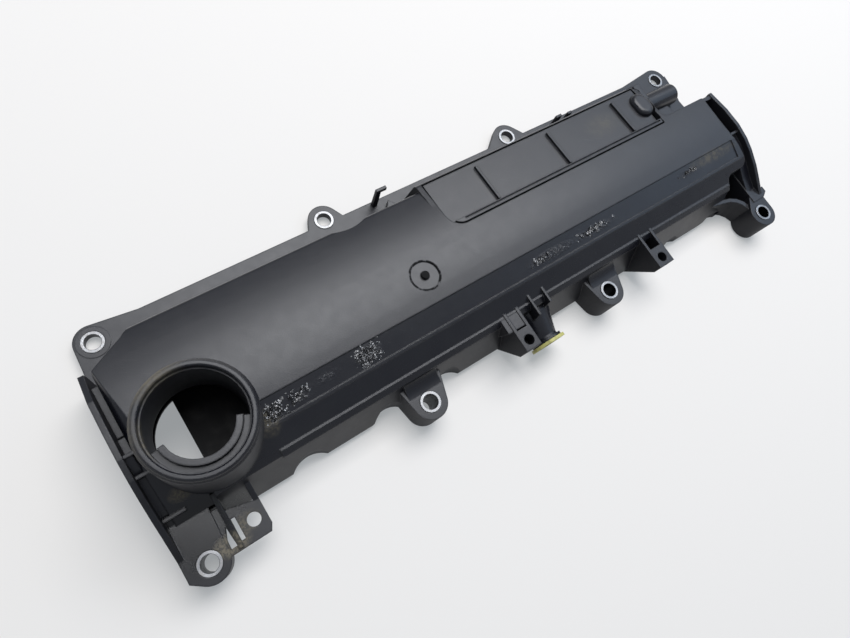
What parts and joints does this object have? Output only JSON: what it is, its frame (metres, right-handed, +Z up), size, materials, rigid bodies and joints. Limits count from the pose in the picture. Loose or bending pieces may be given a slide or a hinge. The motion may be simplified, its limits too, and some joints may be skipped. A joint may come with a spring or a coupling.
{
  "type": "engine valve cover",
  "caption": "Long moulded engine valve cover with a filler neck, separator lid, breather spout, seals and sleeved bolt points.",
  "frame": {"origin": "middle of the cover's length and width, at the foot of the free gasket it rests on", "axes": "+X along the engine, away from the filler neck; +Y towards the back row of bolts; +Z up, away from the cylinder head"},
  "size_m": [0.42, 0.146, 0.068],
  "materials": {
    "moulding": "fine-grained charcoal moulding, satin, lightly dusty",
    "lid_moulding": "fine-grained charcoal moulding, satin, lightly dusty",
    "baffle_moulding": "black moulding, matt, oily",
    "gasket_rubber": "black moulded rubber",
    "seal_rubber": "yellow-green moulded rubber",
    "sleeve_steel": "bare steel, faced at the end"
  },
  "bodies": {
    "root": {"cover_body": "moulding", "separator_lid": "lid_moulding", "baffle_plate": "baffle_moulding", "perimeter_gasket": "gasket_rubber", "spout_seal": "seal_rubber", "back_sleeve_1": "sleeve_steel", "back_sleeve_2": "sleeve_steel", "back_sleeve_3": "sleeve_steel", "back_sleeve_4": "sleeve_steel", "front_sleeve_1": "sleeve_steel", "front_sleeve_2": "sleeve_steel", "front_sleeve_3": "sleeve_steel", "front_sleeve_4": "sleeve_steel"}
  },
  "joints": []
}
